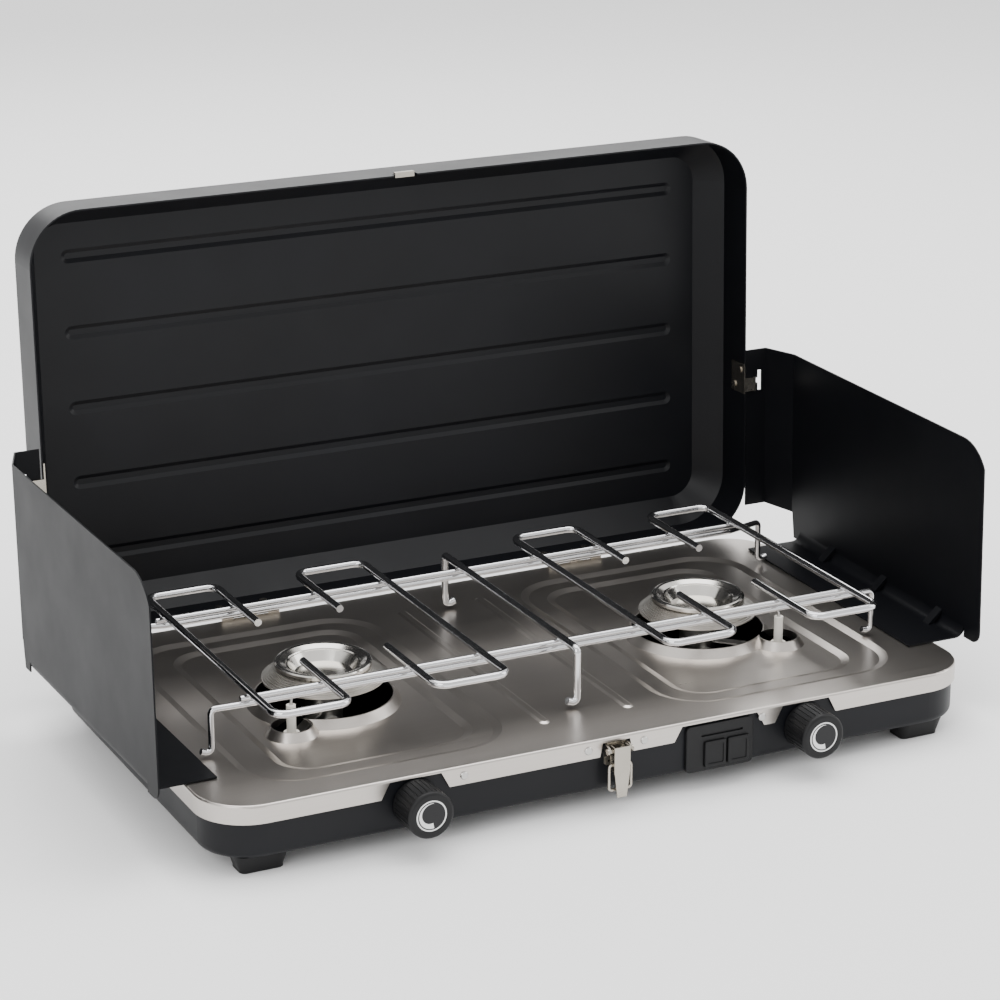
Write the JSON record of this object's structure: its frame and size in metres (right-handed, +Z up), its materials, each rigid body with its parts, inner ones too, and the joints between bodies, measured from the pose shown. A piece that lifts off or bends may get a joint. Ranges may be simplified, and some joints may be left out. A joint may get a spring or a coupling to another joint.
{
  "type": "camping stove",
  "caption": "Folding two-burner camping stove with a hinged lid, side windshields, a lift-out wire pot support, gas knobs, igniter buttons and a front draw latch.",
  "frame": {"origin": "centre of the whole open stove's footprint, on the ground under the feet", "axes": "+Z up, +X to the cook's right, +Y to the rear, where the lid is hinged; the cook stands at -Y"},
  "size_m": [0.582, 0.3763, 0.3392],
  "materials": {
    "black_paint": "satin",
    "tray_steel": "satin",
    "wire_chrome": "gloss",
    "nickel": "satin",
    "burner_alloy": "satin",
    "ring_chrome": "gloss",
    "brass": "satin",
    "plastic": "matte",
    "disc_print": "gloss",
    "zinc": "satin",
    "ceramic": "matte"
  },
  "bodies": {
    "base": {"base_pan": "black_paint", "top_tray": "tray_steel", "gas_pipe": "zinc", "gas_inlet": "brass", "igniter_housing": "plastic", "electrode_straps": "zinc", "latch_plate": "nickel", "latch_pin": "nickel", "hinge_base_leaves": "nickel", "hinge_pins": "nickel", "hinge_base_rivets": "nickel", "feet": "plastic", "foot_screws": "zinc", "skirt_screws": "zinc", "left_burner_body": "burner_alloy", "left_port_ring": "ring_chrome", "left_burner_cap": "ring_chrome", "left_mixing_tube": "zinc", "left_injector": "brass", "left_valve_body": "brass", "left_piezo_unit": "plastic", "left_button_spring": "zinc", "left_electrode_insulator": "ceramic", "left_electrode": "zinc", "right_burner_body": "burner_alloy", "right_port_ring": "ring_chrome", "right_burner_cap": "ring_chrome", "right_mixing_tube": "zinc", "right_injector": "brass", "right_valve_body": "brass", "right_piezo_unit": "plastic", "right_button_spring": "zinc", "right_electrode_insulator": "ceramic", "right_electrode": "zinc"},
    "lid": {"lid_shell": "black_paint", "lid_catch": "nickel", "hinge_lid_leaves": "nickel", "lid_rivets": "nickel", "left_shield_bracket": "nickel", "right_shield_bracket": "nickel"},
    "left_shield": {"left_windshield": "black_paint"},
    "right_shield": {"right_windshield": "black_paint"},
    "left_knob": {"left_knob": "plastic", "left_knob_disc": "disc_print", "left_valve_stem": "brass"},
    "right_knob": {"right_knob": "plastic", "right_knob_disc": "disc_print", "right_valve_stem": "brass"},
    "left_button": {"left_igniter_button": "plastic"},
    "right_button": {"right_igniter_button": "plastic"},
    "latch_lever": {"latch_lever": "nickel"},
    "latch_bail": {"latch_bail": "nickel"},
    "pot_support": {"grate_wires": "wire_chrome", "front_rail": "wire_chrome", "rear_rail": "wire_chrome", "front_leg_wire": "wire_chrome", "rear_leg_wire": "wire_chrome", "centre_wire": "wire_chrome"}
  },
  "joints": [
    {"name": "lid_hinge", "type": "hinge", "parent": "base", "child": "lid", "pos_m": [0, 0.1306, 0.0496], "axis": [-1, 0, 0], "range_deg": [-92, 0]},
    {"name": "left_shield_slide", "type": "slide", "parent": "base", "child": "left_shield", "axis": [-1, 0, 0], "range_m": [0, 0.06]},
    {"name": "right_shield_slide", "type": "slide", "parent": "base", "child": "right_shield", "axis": [1, 0, 0], "range_m": [0, 0.06]},
    {"name": "left_knob_turn", "type": "hinge", "parent": "base", "child": "left_knob", "pos_m": [-0.136, -0.1754, 0.0296], "axis": [0, -1, 0], "range_deg": [0, 270]},
    {"name": "right_knob_turn", "type": "hinge", "parent": "base", "child": "right_knob", "pos_m": [0.136, -0.1754, 0.0296], "axis": [0, -1, 0], "range_deg": [0, 270]},
    {"name": "left_igniter_press", "type": "slide", "parent": "base", "child": "left_button", "axis": [0, 1, 0], "range_m": [0, 0.0035], "stiffness_N_per_m": 600, "springref_m": -0.002, "deforming": ["left_button_spring"]},
    {"name": "right_igniter_press", "type": "slide", "parent": "base", "child": "right_button", "axis": [0, 1, 0], "range_m": [0, 0.0035], "stiffness_N_per_m": 600, "springref_m": -0.002, "deforming": ["right_button_spring"]},
    {"name": "latch_lever_hinge", "type": "hinge", "parent": "base", "child": "latch_lever", "pos_m": [0, -0.17, 0.0395], "axis": [-1, 0, 0], "range_deg": [0, 100]},
    {"name": "latch_bail_hinge", "type": "hinge", "parent": "latch_lever", "child": "latch_bail", "pos_m": [0, -0.1704, 0.0305], "axis": [1, 0, 0], "range_deg": [0, 14]},
    {"name": "pot_support_lift", "type": "slide", "parent": "base", "child": "pot_support", "axis": [0, 0, 1], "range_m": [0, 0.04]}
  ],
  "couplings": [
    {"joint": "left_shield_slide", "follows": "lid_hinge", "m_per_rad": -0.0373},
    {"joint": "right_shield_slide", "follows": "lid_hinge", "m_per_rad": -0.0373}
  ]
}
